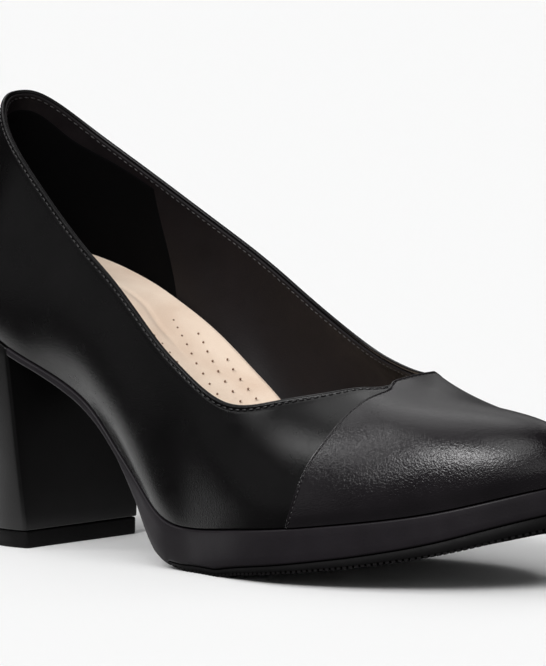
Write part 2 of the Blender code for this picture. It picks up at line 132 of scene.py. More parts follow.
def outward(u, column):
    """Level outward direction of the feather line (column 0) or the topline (column 3)."""
    along = (section(u + 1e-4) - section(u - 1e-4))[..., column:column + 2]
    out = np.stack([along[..., 1], -along[..., 0], 0.0 * along[..., 0]], -1)
    return out / np.linalg.norm(out, axis=-1, keepdims=True)


def last(u, v):
    """Points on the last, v running from 0 on the feather line to 1 on the topline."""
    row = section(u)
    foot, top = row[..., 0:3], row[..., 3:6]
    up = np.array((0.0, 0.0, 1.0))
    lean, rise, fall, reach = (row[..., c:c + 1] for c in (6, 7, 8, 9))
    low = foot + (outward(u, 0) * np.sin(lean) + up * np.cos(lean)) * rise
    high = top + (outward(u, 3) * np.sin(fall) - up * np.cos(fall)) * reach
    v = np.asarray(v)[..., None]
    w = 1.0 - v
    return w ** 3 * foot + 3 * w * w * v * low + 3 * w * v * v * high + v ** 3 * top


def soft(start, stop, value):
    """0 before start, 1 past stop, with a soft ramp between them."""
    t = np.clip((np.asarray(value) - start) / (stop - start), 0.0, 1.0)
    return t * t * (3.0 - 2.0 * t)


def facing(u, v):
    """The direction straight out of the last, turned level at the feather line."""
    along = last(u + 1e-4, v) - last(u - 1e-4, v)
    rise = last(u, np.minimum(v + 1e-4, 1.0)) - last(u, np.maximum(v - 1e-4, 0.0))
    normal = np.cross(along, rise)
    normal /= np.linalg.norm(normal, axis=-1, keepdims=True)
    share = soft(0.0, 0.1, v)[..., None]
    normal = share * normal + (1.0 - share) * outward(u, 0)
    return normal / np.linalg.norm(normal, axis=-1, keepdims=True)


def leather(u, v, out):
    """Points at a distance out from the last."""
    u, v, out = np.broadcast_arrays(np.asarray(u, float), np.asarray(v, float), out)
    return last(u, v) + facing(u, v) * out[..., None]


def walked(points):
    """The length walked along each row of points."""
    steps = np.linalg.norm(np.diff(points, axis=-2), axis=-1)
    return np.concatenate([np.zeros(steps.shape[:-1] + (1,)), np.cumsum(steps, axis=-1)], axis=-1)


FINE = np.linspace(0.0, 1.0, 4001)
FEATHER = section(FINE)[:, :3]
FEATHER[-1] = FEATHER[0]
TIP = int(np.argmax(FEATHER[:, 0]))


def round_the_shoe(step):
    """Places round the shoe, evenly spaced along the feather line."""
    length = walked(FEATHER)
    count = int(length[-1] / step)
    return np.interp(np.arange(count) / count * length[-1], length, FINE)


def wall_length(u):
    """The height of the wall, walked along it."""
    return walked(last(np.asarray(u)[:, None], np.linspace(0.0, 1.0, 81)))[:, -1]


def below_topline(u, depth):
    """How high up the wall, from 0 to 1, lie the places that are depth below the topline."""
    heights = np.linspace(0.0, 1.0, 161)
    length = walked(last(np.asarray(u)[:, None], heights))
    depth = np.broadcast_to(depth, (len(u), np.shape(depth)[-1]))
    rows = [np.interp(line[-1] - deep, line, heights) for line, deep in zip(length, depth)]
    return np.array(rows)


# The upper. One piece of black full-grain leather about 1.1 mm thick, lasted over the
# form. Its top edge is folded over and stitched down 1.5 mm below, which raises a small
# roll along the topline, and its foot turns in under the feather line.

def one_over(group, size):
    """One over a size that the group is given, which is a texture's scale."""
    node = group.nodes.new("ShaderNodeMath")
    node.operation = "DIVIDE"
    node.inputs[0].default_value = 1.0
    group.links.new(size, node.inputs[1])
    return node.outputs[0]


def noise(group, place, scale, detail, roughness=0.5):
    """A noise over the piece's own coordinates. Its scale is a number or a socket."""
    texture = group.nodes.new("ShaderNodeTexNoise")
    texture.inputs["Detail"].default_value = detail
    texture.inputs["Roughness"].default_value = roughness
    group.links.new(place.outputs["Object"], texture.inputs["Vector"])
    if isinstance(scale, float):
        texture.inputs["Scale"].default_value = scale
    else:
        group.links.new(scale, texture.inputs["Scale"])
    return texture


def grain_group():
    """Fine leather grain: its height, slow changes of tone and patches of more or less gloss."""
    group = bpy.data.node_groups.new("leather_grain", "ShaderNodeTree")
    sockets = group.interface
    for name, value in (("Pebble", 0.0006), ("Patch", 0.02)):
        socket = sockets.new_socket(name, in_out="INPUT", socket_type="NodeSocketFloat")
        socket.default_value = value
    for name in ("Height", "Tone", "Gloss"):
        sockets.new_socket(name, in_out="OUTPUT", socket_type="NodeSocketFloat")
    nodes, links = group.nodes, group.links
    given = nodes.new("NodeGroupInput")
    result = nodes.new("NodeGroupOutput")
    place = nodes.new("ShaderNodeTexCoord")
    warp = noise(group, place, 900.0, 2.0)
    push = nodes.new("ShaderNodeMixRGB")
    push.blend_type = "LINEAR_LIGHT"
    push.inputs["Fac"].default_value = 0.0006
    links.new(place.outputs["Object"], push.inputs["Color1"])
    links.new(warp.outputs["Color"], push.inputs["Color2"])
    cells = nodes.new("ShaderNodeTexVoronoi")
    cells.feature = "SMOOTH_F1"
    cells.inputs["Smoothness"].default_value = 0.5
    cells.inputs["Randomness"].default_value = 1.0
    links.new(push.outputs["Color"], cells.inputs["Vector"])
    links.new(one_over(group, given.outputs["Pebble"]), cells.inputs["Scale"])
    pores = noise(group, place, 5200.0, 3.0)
    height = nodes.new("ShaderNodeMath")
    height.operation = "MULTIPLY_ADD"
    height.inputs[1].default_value = 0.35
    links.new(pores.outputs["Fac"], height.inputs[0])
    links.new(cells.outputs["Distance"], height.inputs[2])
    links.new(height.outputs[0], result.inputs["Height"])
    tone = noise(group, place, one_over(group, given.outputs["Patch"]), 4.0, 0.55)
    links.new(tone.outputs["Fac"], result.inputs["Tone"])
    gloss = noise(group, place, 160.0, 5.0, 0.6)
    links.new(gloss.outputs["Fac"], result.inputs["Gloss"])
    return group


GRAIN = grain_group()


def toned(finish, mask, low, dark, high, light):
    """Gives a finish its dark tone where the mask is low and its light tone where it is high."""
    nodes, links = finish.node_tree.nodes, finish.node_tree.links
    tones = nodes.new("ShaderNodeValToRGB")
    tones.color_ramp.elements[0].position = low
    tones.color_ramp.elements[0].color = (*dark, 1.0)
    tones.color_ramp.elements[1].position = high
    tones.color_ramp.elements[1].color = (*light, 1.0)
    links.new(mask, tones.inputs["Fac"])
    links.new(tones.outputs["Color"], nodes["Principled BSDF"].inputs["Base Color"])


def embossed(finish, height, relief):
    """Gives a finish the relief of its grain or nap, at most a tenth of a millimetre high."""
    nodes, links = finish.node_tree.nodes, finish.node_tree.links
    bump = nodes.new("ShaderNodeBump")
    bump.inputs["Strength"].default_value = relief
    bump.inputs["Distance"].default_value = 0.0001
    links.new(height, bump.inputs["Height"])
    links.new(bump.outputs["Normal"], nodes["Principled BSDF"].inputs["Normal"])


def grained(name, dark, light, polish, pebble, relief, mirror=0.25, patch=0.02):
    """A leather or moulded finish: its two tones, its roughness from and to, and its grain."""
    finish = bpy.data.materials.new(name)
    finish.use_nodes = True
    nodes, links = finish.node_tree.nodes, finish.node_tree.links
    shader = nodes["Principled BSDF"]
    shader.inputs["Specular IOR Level"].default_value = mirror
    grain = nodes.new("ShaderNodeGroup")
    grain.node_tree = GRAIN
    grain.inputs["Pebble"].default_value = pebble
    grain.inputs["Patch"].default_value = patch
    toned(finish, grain.outputs["Tone"], 0.35, dark, 0.68, light)
    shine = nodes.new("ShaderNodeMapRange")
    shine.inputs["From Min"].default_value = 0.3
    shine.inputs["From Max"].default_value = 0.7
    shine.inputs["To Min"].default_value = polish[0]
    shine.inputs["To Max"].default_value = polish[1]
    links.new(grain.outputs["Gloss"], shine.inputs["Value"])
    links.new(shine.outputs["Result"], shader.inputs["Roughness"])
    embossed(finish, grain.outputs["Height"], relief)
    return finish


def piece(name, points, faces, finish, nodes=()):
    """A finished piece of the shoe, on its one body, in place of the CAD nodes named."""
    mesh = bpy.data.meshes.new(name)
    mesh.from_pydata((points + CENTRE).tolist(), [], [tuple(map(int, face)) for face in faces])
    mesh.validate()
    mesh.shade_smooth()
    mesh.set_sharp_from_angle(angle=np.radians(55.0))
    mesh.materials.append(finish)
    made = bpy.data.objects.new(name, mesh)
    bpy.context.collection.objects.link(made)
    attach(made, "root")
    if nodes:
        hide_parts(*nodes)
    return made


def ring(profile):
    """Faces of a ring of closed outlines, one outline in each row of points."""
    rows, cols = profile.shape[:2]
    grid = np.arange(rows * cols).reshape(rows, cols)
    turned, raised = np.roll(grid, -1, axis=0), np.roll(grid, -1, axis=1)
    both = np.roll(turned, -1, axis=1)
    return np.stack([grid, turned, both, raised], -1).reshape(-1, 4)


def roll(depth):
    """How far the leather stands out along its folded edge, over a depth below it."""
    mm = np.asarray(depth) / MM
    raised = 0.24 * np.exp(-((mm - 0.65) / 0.5) ** 2)
    sunk = 0.30 * np.exp(-((mm - 1.5) / 0.30) ** 2)
    return (raised - sunk + 0.06 * np.exp(-((mm - 2.5) / 0.6) ** 2)) * MM


LEATHER = 1.1 * MM
ROUND = round_the_shoe(1.15 * MM)
EDGE_DEPTHS = np.array((0.35, 0.5, 0.65, 0.82, 1.0, 1.15, 1.3, 1.42, 1.5, 1.6, 1.72, 1.88,
                        2.1, 2.4, 2.8, 3.4, 4.4, 6.0)) * MM
FOOT_HEIGHTS = np.array((3.2, 2.2, 1.5, 1.0, 0.65, 0.4, 0.2, 0.0)) * MM


def wall_depths(u, near, far, steps):
    """Depths below the topline: near it as given, then even steps, then as given near the foot."""
    length = wall_length(u)[:, None]
    share = np.linspace(0.0, 1.0, steps + 2)[1:-1]
    middle = near[-1] + (length - far[0] - near[-1]) * share
    near = np.broadcast_to(near, (len(u), len(near)))
    return np.concatenate([near, middle, length - far], axis=1)


def over_topline(u, profile):
    """Points over the topline, from how far each lies out of the last and up past the topline."""
    top = last(u[:, None], np.array([1.0]))
    out = facing(u[:, None], np.array([1.0]))
    up = top - last(u[:, None], np.array([0.995]))
    up /= np.linalg.norm(up, axis=-1, keepdims=True)
    profile = np.array(profile) * MM
    return top + out * profile[:, :1] + up * profile[:, 1:]


depths = wall_depths(ROUND, EDGE_DEPTHS, FOOT_HEIGHTS, 34)
heights = below_topline(ROUND, depths)
face_out = roll(depths)
face_out[:, -2:] -= np.array((0.12, 0.5)) * MM
face = leather(ROUND[:, None], heights, face_out)
fold = over_topline(ROUND, (
    (-1.14, -1.2), (-1.12, -0.5), (-1.04, -0.12), (-0.86, 0.14), (-0.6, 0.26), (-0.32, 0.24),
    (-0.06, 0.1), (0.1, -0.12)))
back = leather(ROUND[:, None], heights[:, ::-9], -LEATHER)
back[:, 0] = face[:, -1] - facing(ROUND, heights[:, -1]) * 0.6 * MM
profile = np.concatenate([face[:, ::-1], fold[:, ::-1], back[:, :0:-1], back[:, :1]], axis=1)
black_leather = grained("black_leather", (0.0022, 0.0020, 0.0022), (0.0040, 0.0036, 0.0039),
                        (0.21, 0.29), 0.00055, 0.24)
piece("upper", profile.reshape(-1, 3), ring(profile), black_leather, ["upper"])


# The lining. Thin brown-black leather inside the whole upper. Its top edge stops just
# under the fold of the upper, and the topline's stitches hold it there.

WALL = 2.0 * MM  # the leather, its stiffener and the lining together
depths = wall_depths(ROUND, np.array((1.3, 2.0, 3.0, 4.5)) * MM, np.array((1.0, 0.0)) * MM, 26)
heights = below_topline(ROUND, depths)
face = leather(ROUND[:, None], heights, -WALL)
edge = over_topline(ROUND, ((-1.97, -0.98), (-1.86, -0.76), (-1.66, -0.64), (-1.42, -0.62),
                            (-1.22, -0.72), (-1.16, -0.95)))
back = leather(ROUND[:, None], heights[:, ::5], -LEATHER - 0.02 * MM)
profile = np.concatenate([back[:, ::-1], edge[:, ::-1], face], axis=1)
lining_leather = grained("brown_black_lining", (0.0032, 0.0020, 0.0026), (0.0053, 0.0035, 0.0043),
                         (0.48, 0.62), 0.0005, 0.22, mirror=0.2)
piece("lining", profile.reshape(-1, 3), ring(profile), lining_leather)


# The heel grip. A patch of near-black suede on the lining round the heel, which keeps the
# foot from slipping. Its upper edge lies 4 to 9 mm below the topline.

def suede_group():
    """Suede nap: short fibres, and the lighter and darker patches that touch leaves in it."""
    group = bpy.data.node_groups.new("suede_nap", "ShaderNodeTree")
    sockets = group.interface
    fibre = sockets.new_socket("Fibre", in_out="INPUT", socket_type="NodeSocketFloat")
    fibre.default_value = 0.0003
    for name in ("Height", "Tone"):
        sockets.new_socket(name, in_out="OUTPUT", socket_type="NodeSocketFloat")
    nodes, links = group.nodes, group.links
    given = nodes.new("NodeGroupInput")
    result = nodes.new("NodeGroupOutput")
    place = nodes.new("ShaderNodeTexCoord")
    nap = noise(group, place, one_over(group, given.outputs["Fibre"]), 4.0, 0.75)
    links.new(nap.outputs["Fac"], result.inputs["Height"])
    touched = noise(group, place, 45.0, 5.0)
    touched.inputs["Distortion"].default_value = 0.6
    share = nodes.new("ShaderNodeMath")
    share.operation = "MULTIPLY"
    share.inputs[1].default_value = 0.65
    links.new(touched.outputs["Fac"], share.inputs[0])
    mix = nodes.new("ShaderNodeMath")
    mix.operation = "MULTIPLY_ADD"
    mix.inputs[1].default_value = 0.35
    links.new(nap.outputs["Fac"], mix.inputs[0])
    links.new(share.outputs[0], mix.inputs[2])
    links.new(mix.outputs[0], result.inputs["Tone"])
    return group


NAP = suede_group()


def suede(name, dark, light, relief, sheen, mirror=0.25):
    """A suede finish from its two tones, the depth of its nap and its sheen."""
    finish = bpy.data.materials.new(name)
    finish.use_nodes = True
    nodes = finish.node_tree.nodes
    shader = nodes["Principled BSDF"]
    shader.inputs["Roughness"].default_value = 0.92
    shader.inputs["Specular IOR Level"].default_value = mirror
    shader.inputs["Sheen Weight"].default_value = sheen
    shader.inputs["Sheen Roughness"].default_value = 0.4
    nap = nodes.new("ShaderNodeGroup")
    nap.node_tree = NAP
    toned(finish, nap.outputs["Tone"], 0.36, dark, 0.64, light)
    embossed(finish, nap.outputs["Height"], relief)
    return finish


def patch_faces(rows, cols):
    """Faces of a patch with a front and a back, each a grid of points, and walls between."""
    grid = np.arange(rows * cols).reshape(rows, cols)
    behind = grid + rows * cols
    quads = np.stack([grid[:-1, :-1], grid[1:, :-1], grid[1:, 1:], grid[:-1, 1:]], -1)
    faces = [quads.reshape(-1, 4), quads.reshape(-1, 4)[:, ::-1] + rows * cols]
    border = np.concatenate([grid[:, 0], grid[-1, 1:-1], grid[::-1, -1], grid[0, -2:0:-1]])
    other = behind.ravel()[border]
    faces.append(np.stack([border, other, np.roll(other, -1), np.roll(border, -1)], -1)[:, ::-1])
    return np.concatenate(faces)


GRIP = np.array((
    # place round the shoe, depth of the grip's upper edge below the topline in mm
    (-0.1344, 4.0), (-0.124, 4.2), (-0.108, 4.8), (-0.092, 6.2), (-0.078, 7.6), (-0.065, 8.6),
    (-0.050, 7.4), (-0.030, 6.2), (0.0, 5.7), (0.030, 6.2), (0.050, 7.4), (0.065, 8.6),
    (0.078, 7.6), (0.092, 6.2), (0.108, 4.8), (0.124, 4.2), (0.1344, 4.0)))
across = np.linspace(GRIP[0, 0], GRIP[-1, 0], 170)
start = np.interp(across, GRIP[:, 0], GRIP[:, 1])
start = np.convolve(np.pad(start, 6, mode="edge"), np.ones(13) / 13.0, mode="valid") * MM
length = wall_length(across)
down = np.concatenate([[0.0, 0.0, 0.004, 0.012], np.linspace(0.03, 1.0, 34)])
depths = start[:, None] + (length - start)[:, None] * 0.9 * down
heights = below_topline(across, depths)
to_end = (np.abs(across) / GRIP[-1, 0])[:, None]
lean = -0.0035 * (1.0 - heights) * np.sign(across)[:, None] * to_end ** 8
inward = np.full(depths.shape, 2.34) * MM
inward[:, :3] = np.array((1.9, 2.15, 2.28)) * MM
inward[[0, -1]] = 1.9 * MM
inward[[1, -2]] = np.minimum(inward[[1, -2]], 2.2 * MM)
front = leather(across[:, None] + lean, heights, -inward)
behind = leather(across[:, None] + lean, heights, -1.85 * MM)
black_suede = suede("black_suede_grip", (0.0007, 0.0007, 0.0008), (0.0015, 0.0014, 0.0016),
                    0.4, 0.0, 0.05)
points = np.concatenate([front.reshape(-1, 3), behind.reshape(-1, 3)])
piece("heel_grip", points, patch_faces(*front.shape[:2])[:, ::-1], black_suede)


# The stitches of the topline. Bonded black thread, seven stitches to 16 mm, sunk into a
# groove outside and lying on the lining inside. The thread is coloured dark grey, lighter
# than black, as a painted glint on each stitch.

def guide_tree(name, sizes, made):
    """A geometry node tree that steps along a guide line: itself, its inputs and its steps."""
    tree = bpy.data.node_groups.new(name, "GeometryNodeTree")
    sockets = tree.interface
    sockets.new_socket("Guide", in_out="INPUT", socket_type="NodeSocketGeometry")
    for size, value in sizes:
        socket = sockets.new_socket(size, in_out="INPUT", socket_type="NodeSocketFloat")
        socket.default_value = value
    sockets.new_socket("Finish", in_out="INPUT", socket_type="NodeSocketMaterial")
    sockets.new_socket(made, in_out="OUTPUT", socket_type="NodeSocketGeometry")
    given = tree.nodes.new("NodeGroupInput")
    line = tree.nodes.new("GeometryNodeMeshToCurve")
    tree.links.new(given.outputs["Guide"], line.inputs["Mesh"])
    steps = tree.nodes.new("GeometryNodeResampleCurve")
    steps.mode = "LENGTH"
    tree.links.new(line.outputs["Curve"], steps.inputs["Curve"])
    tree.links.new(given.outputs["Pitch"], steps.inputs["Length"])
    return tree, given, steps


def guide_vector(tree, name):
    """A vector that is stored along the guide line."""
    vector = tree.nodes.new("GeometryNodeInputNamedAttribute")
    vector.data_type = "FLOAT_VECTOR"
    vector.inputs["Name"].default_value = name
    return vector.outputs["Attribute"]


def set_out(tree, given, steps, shape, rotation, scale=None):
    """Ends a tree: a shape at each step along the guide line, made real, with its finish."""
    placed = tree.nodes.new("GeometryNodeInstanceOnPoints")
    tree.links.new(steps.outputs["Curve"], placed.inputs["Points"])
    tree.links.new(shape, placed.inputs["Instance"])
    tree.links.new(rotation, placed.inputs["Rotation"])
    if scale is not None:
        tree.links.new(scale, placed.inputs["Scale"])
    real = tree.nodes.new("GeometryNodeRealizeInstances")
    tree.links.new(placed.outputs["Instances"], real.inputs["Geometry"])
    finish = tree.nodes.new("GeometryNodeSetMaterial")
    tree.links.new(real.outputs["Geometry"], finish.inputs["Geometry"])
    tree.links.new(given.outputs["Finish"], finish.inputs["Material"])
    result = tree.nodes.new("NodeGroupOutput")
    tree.links.new(finish.outputs["Geometry"], result.inputs[0])


def stitch_tree():
    """Geometry nodes: one stitch after another along a guide line, each slightly turned."""
    sizes = (("Pitch", 0.0023), ("Stitch", 0.0017), ("Thread", 0.0004))
    tree, given, steps = guide_tree("stitch_row", sizes, "Stitches")
    nodes, links = tree.nodes, tree.links
    bead = nodes.new("GeometryNodeMeshUVSphere")
    bead.inputs["Segments"].default_value = 8
    bead.inputs["Rings"].default_value = 7
    bead.inputs["Radius"].default_value = 0.5
    size = nodes.new("ShaderNodeCombineXYZ")
    links.new(given.outputs["Stitch"], size.inputs["X"])
    links.new(given.outputs["Thread"], size.inputs["Y"])
    links.new(given.outputs["Thread"], size.inputs["Z"])
    shaped = nodes.new("GeometryNodeTransform")
    links.new(bead.outputs["Mesh"], shaped.inputs["Geometry"])
    links.new(size.outputs["Vector"], shaped.inputs["Scale"])
    smooth = nodes.new("GeometryNodeSetShadeSmooth")
    links.new(shaped.outputs["Geometry"], smooth.inputs["Geometry"])
    along = nodes.new("GeometryNodeInputTangent")
    turn = nodes.new("FunctionNodeAxesToRotation")
    turn.primary_axis = "Z"
    turn.secondary_axis = "X"
    links.new(guide_vector(tree, "out"), turn.inputs["Primary Axis"])
    links.new(along.outputs["Tangent"], turn.inputs["Secondary Axis"])
    slight = nodes.new("FunctionNodeRandomValue")
    slight.data_type = "FLOAT_VECTOR"
    slight.inputs[0].default_value = (-0.03, -0.05, -0.10)
    slight.inputs[1].default_value = (0.03, 0.05, 0.10)
    slight.inputs["Seed"].default_value = 7
    wobble = nodes.new("FunctionNodeEulerToRotation")
    links.new(slight.outputs[0], wobble.inputs[0])
    both = nodes.new("FunctionNodeRotateRotation")
    both.rotation_space = "LOCAL"
    links.new(turn.outputs[0], both.inputs[0])
    links.new(wobble.outputs[0], both.inputs[1])
    set_out(tree, given, steps, smooth.outputs["Geometry"], both.outputs[0])
    return tree


STITCHES = stitch_tree()


def along_guide(name, tree, points, vectors, values, closed=False):
    """A piece that a geometry node tree makes along a guide line, turned into a plain mesh."""
    guide = bpy.data.meshes.new(name + "_guide")
    edges = [(i, i + 1) for i in range(len(points) - 1)]
    if closed:
        edges.append((len(points) - 1, 0))
    guide.from_pydata((points + CENTRE).tolist(), edges, [])
    for vector_name, vector in vectors.items():
        stored = guide.attributes.new(vector_name, "FLOAT_VECTOR", "POINT")
        stored.data.foreach_set("vector", np.ravel(vector))
    made = bpy.data.objects.new(name, guide)
    bpy.context.collection.objects.link(made)
    maker = made.modifiers.new("maker", "NODES")
    maker.node_group = tree
    for socket in tree.interface.items_tree:
        if socket.in_out == "INPUT" and socket.name in values:
            maker[socket.identifier] = values[socket.name]
    seen = made.evaluated_get(bpy.context.evaluated_depsgraph_get())
    mesh = bpy.data.meshes.new_from_object(seen)
    made.modifiers.clear()
    made.data = mesh
    mesh.name = name
    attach(made, "root")
    return made


# Black thread coloured dark grey: the lighter tone is a painted glint on the stitches.
thread_painted_glint = grained("thread_painted_glint", (0.016, 0.015, 0.016), (0.036, 0.033, 0.034),
                       (0.28, 0.40), 0.0002, 0.5, mirror=0.5)
heights = below_topline(ROUND, np.array([1.5]) * MM)
out = facing(ROUND[:, None], heights)[:, 0]
outside = leather(ROUND[:, None], heights, 0.06 * MM)[:, 0]
along_guide("topline_stitches_outside", STITCHES, outside, {"out": out},
            {"Pitch": 2.25 * MM, "Stitch": 1.5 * MM, "Thread": 0.55 * MM, "Finish": thread_painted_glint},
            closed=True)
heights = below_topline(ROUND, np.array([1.8]) * MM)
inside = leather(ROUND[:, None], heights, -WALL - 0.06 * MM)[:, 0]
along_guide("topline_stitches_inside", STITCHES, inside, {"out": -out},
            {"Pitch": 2.25 * MM, "Stitch": 1.6 * MM, "Thread": 0.42 * MM, "Finish": thread_painted_glint},
            closed=True)


# The toe cap. A second leather laid over the front of the upper. Its back edge is folded
# under and stitched down, so it stands 1.4 mm proud, and its front is lasted with the upper.

SEAM = np.array((
    # length along the shoe on its outer and on its inner side, and how high up the wall the
    # cap's back edge stands there
    (160.48, 160.48, 0.00), (161.90, 161.90, 0.04), (163.31, 163.31, 0.11),
    (165.20, 165.20, 0.20), (167.80, 167.80, 0.32), (171.81, 171.10, 0.44),
    (177.00, 175.11, 0.54), (183.61, 181.20, 0.65), (190.22, 187.40, 0.73),
    (199.42, 193.20, 0.79), (213.82, 201.30, 0.86), (223.49, 209.10, 0.93),
    (228.21, 219.00, 1.00)))


def sides(x):
    """The places on the outer and the inner side of the feather line at the length x."""
    outer = np.interp(x, FEATHER[:TIP + 1, 0], FINE[:TIP + 1])
    inner = np.interp(-x, -FEATHER[TIP:, 0], FINE[TIP:])
    return outer, inner


def evened(points, values, count):
    """Values at even steps along the line of points."""
    length = walked(points)
    steps = np.linspace(0.0, length[-1], count)
    return np.stack([np.interp(steps, length, column) for column in values.T], -1)


def softened(values, reach):
    """The values of a line with its corners softened over that many steps, its ends kept."""
    weights = np.hanning(2 * reach + 3)[1:-1]
    weights /= weights.sum()
    before = 2.0 * values[:1] - values[reach:0:-1]
    after = 2.0 * values[-1:] - values[-2:-reach - 2:-1]
    padded = np.concatenate([before, values, after])
    return np.stack([np.convolve(column, weights, mode="valid") for column in padded.T], -1)


outer_side, inner_side = sides(SEAM[:, 0] * MM)[0], sides(SEAM[:, 1] * MM)[1]
seam = np.concatenate([np.stack([outer_side, SEAM[:, 2]], -1),
                       np.stack([inner_side, SEAM[:, 2]], -1)[::-1]])
seam = evened(seam * (0.3, 0.05), seam, 400)
seam = softened(seam, 12)
seam[:, 1] = np.minimum(seam[:, 1], 0.999)
seam = evened(last(seam[:, 0], seam[:, 1]), seam, 240)
foot = np.stack([np.linspace(seam[0, 0], seam[-1, 0], 800), np.full(800, 0.003)], -1)
foot = evened(last(foot[:, 0], foot[:, 1]), foot, 240)

SEWN_IN = 1.08  # the seam's distance from the cap's edge, in mm
edge_steps = np.array((0.0, 0.0, 0.0, 0.05, 0.12, 0.22, 0.34, 0.48, 0.62, 0.76, 0.86, 0.94, 1.01,
                       1.08, 1.15, 1.22, 1.3, 1.42, 1.6, 1.9, 2.5, 3.6)) * MM
share = np.linspace(0.0, 1.0, 301)
lines = seam[:, None] + (foot - seam)[:, None] * share[:, None]
length = walked(last(lines[..., 0], lines[..., 1]))
full = length[:, -1:]
near = edge_steps * np.minimum(1.0, full / (24.0 * MM))
even = near[:, -1:] + (full - near[:, -1:]) * np.linspace(0.0, 1.0, 64)[1:]
steps = np.concatenate([near, even], axis=1)
share = np.array([np.interp(row, line, share) for row, line in zip(steps, length)])[..., None]
cap = seam[:, None] + (foot - seam)[:, None] * share
points = last(cap[..., 0], cap[..., 1])
edge_line = last(seam[:, 0], seam[:, 1])
from_seam = np.array([np.linalg.norm(edge_line - p, axis=1).min() for p in points.reshape(-1, 3)])
from_seam = from_seam.reshape(points.shape[:2])
mm = from_seam / MM
out = 1.36 - 1.0 * np.clip(1.0 - mm / 0.5, 0.0, 1.0) ** 2.4
out += 0.12 * np.exp(-((mm - 0.5) / 0.28) ** 2) - 0.36 * np.exp(-((mm - SEWN_IN) / 0.2) ** 2)
out -= 0.6 * (1.0 - soft(0.0, 0.08, cap[..., 1]))
out[:, 0] = -0.1
out[:, 1] = 0.1
out[:, 2] = np.minimum(out[:, 2], 0.3)
front = leather(cap[..., 0], cap[..., 1], out * MM)
behind = leather(cap[..., 0], cap[..., 1], np.full(out.shape, -0.15 * MM))
points = np.concatenate([front.reshape(-1, 3), behind.reshape(-1, 3)])
cap_leather = grained("black_cap_leather", (0.0074, 0.0062, 0.0074), (0.0116, 0.0098, 0.0116),
                      (0.15, 0.22), 0.0005, 0.7, mirror=0.44)
piece("toe_cap", points, patch_faces(*front.shape[:2]), cap_leather, ["toe_cap"])

from_edge = np.array([np.interp(SEWN_IN * MM, line, np.linspace(0.0, 1.0, 301)) for line in length])
sewn = seam + (foot - seam) * from_edge[:, None]
sewn = sewn[5:-5]
out = facing(sewn[:, 0], sewn[:, 1])
along_guide("toe_cap_stitches", STITCHES, leather(sewn[:, 0], sewn[:, 1], 1.06 * MM), {"out": out},
            {"Pitch": 1.65 * MM, "Stitch": 1.15 * MM, "Thread": 0.4 * MM, "Finish": thread_painted_glint})


# The footbed. Foam covered with tan suede, glued into the bottom of the upper. It is
# cushioned under the heel and the arch, and perforated under the ball of the foot.

FOOTBED = np.array((
    # length along the shoe, height of its middle over the inner feather line, and how much
    # higher its outer and its inner edge are
    (0.00, 11.44, 2.11, 2.11), (15.10, 13.38, 1.94, 2.11), (27.14, 15.49, 1.76, 1.94),
    (41.30, 17.60, 1.23, 1.23), (55.46, 17.42, 1.06, 1.06), (70.80, 16.72, 1.06, 1.58),
    (81.42, 16.72, 0.88, 2.82), (92.04, 17.42, 0.88, 3.70), (100.30, 15.49, 0.88, 3.52),
    (109.98, 10.91, 0.70, 1.94), (118.00, 7.57, 0.53, 0.88), (126.26, 5.81, 0.35, 0.35),
    (139.24, 4.75, 0.00, 0.00), (236.00, 4.75, 0.00, 0.00))) * MM


def inner_height(x):
    """Height of the feather line on its inner side."""
    return np.interp(-x, -FEATHER[TIP:, 0], FEATHER[TIP:, 2])


def bed_height(x, share):
    """Height of the footbed, share running from its outer to its inner edge."""
    height = 0.0
    for offset, weight in ((-6.0, 0.12), (-3.0, 0.22), (0.0, 0.32), (3.0, 0.22), (6.0, 0.12)):
        at = x + offset * MM
        edge = np.where(share < 0.5, np.interp(at, FOOTBED[:, 0], FOOTBED[:, 2]),
                        np.interp(at, FOOTBED[:, 0], FOOTBED[:, 3]))
        middle = np.interp(at, FOOTBED[:, 0], FOOTBED[:, 1])
        height = height + weight * (middle + edge * np.abs(2.0 * share - 1.0) ** 2.5)
    return inner_height(x) + height


SIDE = walked(FEATHER[:TIP + 1])


def rung_lengths(step):
    """Lengths along the shoe, evenly spaced along the outer feather line."""
    count = int(SIDE[-1] / step)
    return np.interp((np.arange(count) + 0.5) / count * SIDE[-1], SIDE, FEATHER[:TIP + 1, 0])


BED_INSET = 2.36 * MM
rungs = rung_lengths(1.1 * MM)
outer_side, inner_side = sides(rungs)
climb = np.linspace(0.0, 0.8, 81)
outer_wall = leather(outer_side[:, None], climb, -BED_INSET)
inner_wall = leather(inner_side[:, None], climb, -BED_INSET)


def wall_at(wall, goal):
    """The points where each line up the wall reaches the goal height."""
    return np.array([[np.interp(z, line[:, 2], line[:, k]) for k in range(3)]
                     for z, line in zip(goal, wall)])


outer_top = wall_at(outer_wall, bed_height(rungs, 0.0))
inner_top = wall_at(inner_wall, bed_height(rungs, 1.0))
share = 0.5 - 0.5 * np.cos(np.linspace(0.0, 1.0, 91) * np.pi)
share = 0.6 * share + 0.4 * np.linspace(0.0, 1.0, 91)
top = outer_top[:, None] + (inner_top - outer_top)[:, None] * share[:, None]
top[..., 2] = bed_height(top[..., 0], share)
CREASE = np.array((
    # length along the shoe, distance towards its inner side, of the crease in the suede
    (20.0, 14.5), (36.5, 13.4), (42.5, 12.7), (47.4, 12.0), (52.4, 10.6), (57.9, 8.0),
    (62.6, 6.2), (70.4, 5.0), (85.0, 4.0))) * MM
side = (top[..., 1] - np.interp(top[..., 0], CREASE[:, 0], CREASE[:, 1])) / MM
fade = soft(26.0, 38.0, top[..., 0] / MM) * (1.0 - soft(60.0, 78.0, top[..., 0] / MM))
bulge = 0.55 * np.exp(-((side + 3.2) / 2.6) ** 2) - 0.5 * np.exp(-(side / 1.1) ** 2)
top[..., 2] += fade * bulge * MM
from_wall = np.minimum(np.abs(top[..., 1] - outer_top[:, None, 1]),
                       np.abs(top[..., 1] - inner_top[:, None, 1]))
